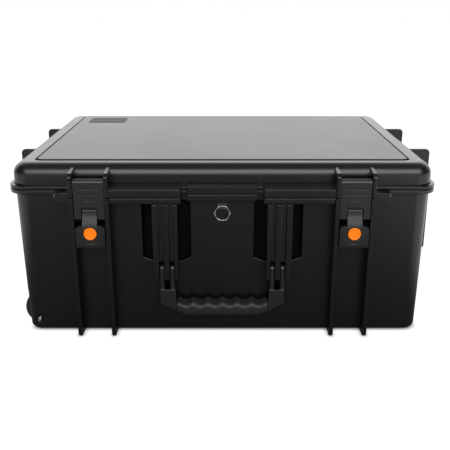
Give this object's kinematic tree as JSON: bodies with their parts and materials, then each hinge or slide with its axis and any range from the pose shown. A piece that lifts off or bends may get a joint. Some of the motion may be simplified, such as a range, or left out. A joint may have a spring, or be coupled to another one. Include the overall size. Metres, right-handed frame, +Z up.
{
  "type": "laptop hard case",
  "caption": "Wheeled moulded hard case with a hinged lid, two lever latches with push buttons, fold-down handles, a pull-out handle and foam laptop bays.",
  "frame": {"origin": "centre of the base's bottom face, on the surface it stands on", "axes": "+X to the right along the width as seen from the latches, +Y to the hinges, +Z up"},
  "size_m": [0.6708, 0.4983, 0.2682],
  "materials": {
    "shell_plastic": "fine moulded texture, satin black",
    "panel_satin": "smooth satin charcoal",
    "latch_plastic": "satin black moulded",
    "button_orange": "satin orange",
    "grip_rubber": "soft matt black",
    "seal_rubber": "matt black",
    "pin_steel": "bright pins and screws",
    "valve_metal": "bright metal",
    "tube_metal": "satin anodised",
    "foam_dark": "dense dark foam",
    "tyre_rubber": "matt black tyre"
  },
  "bodies": {
    "base": {"base_shell": "shell_plastic", "base_rim": "shell_plastic", "base_ribs": "shell_plastic", "front_pillars": "shell_plastic", "end_pillars": "shell_plastic", "base_padlock_eyes": "shell_plastic", "hinge_pins": "pin_steel", "valve_body": "valve_metal", "valve_cap": "shell_plastic", "valve_washer": "seal_rubber", "valve_nut": "shell_plastic", "floor_foam": "foam_dark", "front_foam_rail": "foam_dark", "rear_foam_rail": "foam_dark", "laptop_dividers": "foam_dark", "front_handle_pins": "pin_steel", "end_handle_pins": "pin_steel", "front_wheel_carrier": "shell_plastic", "rear_wheel_carrier": "shell_plastic", "front_wheel_axle": "pin_steel", "rear_wheel_axle": "pin_steel", "wheel_carrier_screws": "pin_steel", "trolley_outer_tubes": "tube_metal", "trolley_brackets": "shell_plastic", "trolley_cover": "shell_plastic", "trolley_cover_screws": "pin_steel"},
    "lid": {"lid_shell": "shell_plastic", "lid_rim": "shell_plastic", "lid_panel": "panel_satin", "panel_gasket": "seal_rubber", "lid_seal": "seal_rubber", "lid_foam": "foam_dark", "left_strap_pin": "pin_steel", "right_strap_pin": "pin_steel"},
    "left_strap": {"left_latch_strap": "latch_plastic", "left_lever_pin": "pin_steel"},
    "right_strap": {"right_latch_strap": "latch_plastic", "right_lever_pin": "pin_steel"},
    "left_lever": {"left_latch_lever": "latch_plastic", "left_button_spring": "pin_steel"},
    "right_lever": {"right_latch_lever": "latch_plastic", "right_button_spring": "pin_steel"},
    "left_button": {"left_latch_button": "button_orange"},
    "right_button": {"right_latch_button": "button_orange"},
    "front_handle": {"front_handle_frame": "shell_plastic", "front_handle_grip": "grip_rubber"},
    "end_handle": {"end_handle_frame": "shell_plastic", "end_handle_grip": "grip_rubber"},
    "front_wheel": {"front_wheel_hub": "shell_plastic", "front_wheel_tyre": "tyre_rubber"},
    "rear_wheel": {"rear_wheel_hub": "shell_plastic", "rear_wheel_tyre": "tyre_rubber"},
    "trolley": {"trolley_inner_tubes": "tube_metal", "trolley_grip": "shell_plastic", "trolley_button_spring": "pin_steel"},
    "trolley_release": {"trolley_button": "button_orange"}
  },
  "joints": [
    {"name": "lid_hinge", "type": "hinge", "parent": "base", "child": "lid", "pos_m": [0, 0.242, 0.23], "axis": [-1, 0, 0], "range_deg": [0, 95]},
    {"name": "left_latch_swing", "type": "hinge", "parent": "lid", "child": "left_strap", "pos_m": [-0.1928, -0.2398, 0.244], "axis": [-1, 0, 0], "range_deg": [0, 90]},
    {"name": "left_lever_swing", "type": "hinge", "parent": "left_strap", "child": "left_lever", "pos_m": [-0.1928, -0.2393, 0.197], "axis": [-1, 0, 0], "range_deg": [0, 60]},
    {"name": "left_button_press", "type": "slide", "parent": "left_lever", "child": "left_button", "axis": [0, 1, 0], "range_m": [0, 0.0025], "stiffness_N_per_m": 800, "springref_m": -0.002, "deforming": ["left_button_spring"]},
    {"name": "right_latch_swing", "type": "hinge", "parent": "lid", "child": "right_strap", "pos_m": [0.1928, -0.2398, 0.244], "axis": [-1, 0, 0], "range_deg": [0, 90]},
    {"name": "right_lever_swing", "type": "hinge", "parent": "right_strap", "child": "right_lever", "pos_m": [0.1928, -0.2393, 0.197], "axis": [-1, 0, 0], "range_deg": [0, 60]},
    {"name": "right_button_press", "type": "slide", "parent": "right_lever", "child": "right_button", "axis": [0, 1, 0], "range_m": [0, 0.0025], "stiffness_N_per_m": 800, "springref_m": -0.002, "deforming": ["right_button_spring"]},
    {"name": "front_handle_swing", "type": "hinge", "parent": "base", "child": "front_handle", "pos_m": [0, -0.2383, 0.111], "axis": [-1, 0, 0], "range_deg": [0, 95]},
    {"name": "end_handle_swing", "type": "hinge", "parent": "base", "child": "end_handle", "pos_m": [0.331, 0, 0.111], "axis": [0, -1, 0], "range_deg": [0, 95]},
    {"name": "trolley_slide", "type": "slide", "parent": "base", "child": "trolley", "axis": [1, 0, 0], "range_m": [0, 0.35]},
    {"name": "trolley_button_press", "type": "slide", "parent": "trolley", "child": "trolley_release", "axis": [-1, 0, 0], "range_m": [0, 0.002], "stiffness_N_per_m": 800, "springref_m": -0.002, "deforming": ["trolley_button_spring"]},
    {"name": "front_wheel_spin", "type": "hinge", "parent": "base", "child": "front_wheel", "pos_m": [-0.285, -0.19, 0.0286], "axis": [0, 1, 0], "continuous": true},
    {"name": "rear_wheel_spin", "type": "hinge", "parent": "base", "child": "rear_wheel", "pos_m": [-0.285, 0.19, 0.0286], "axis": [0, 1, 0], "continuous": true}
  ]
}
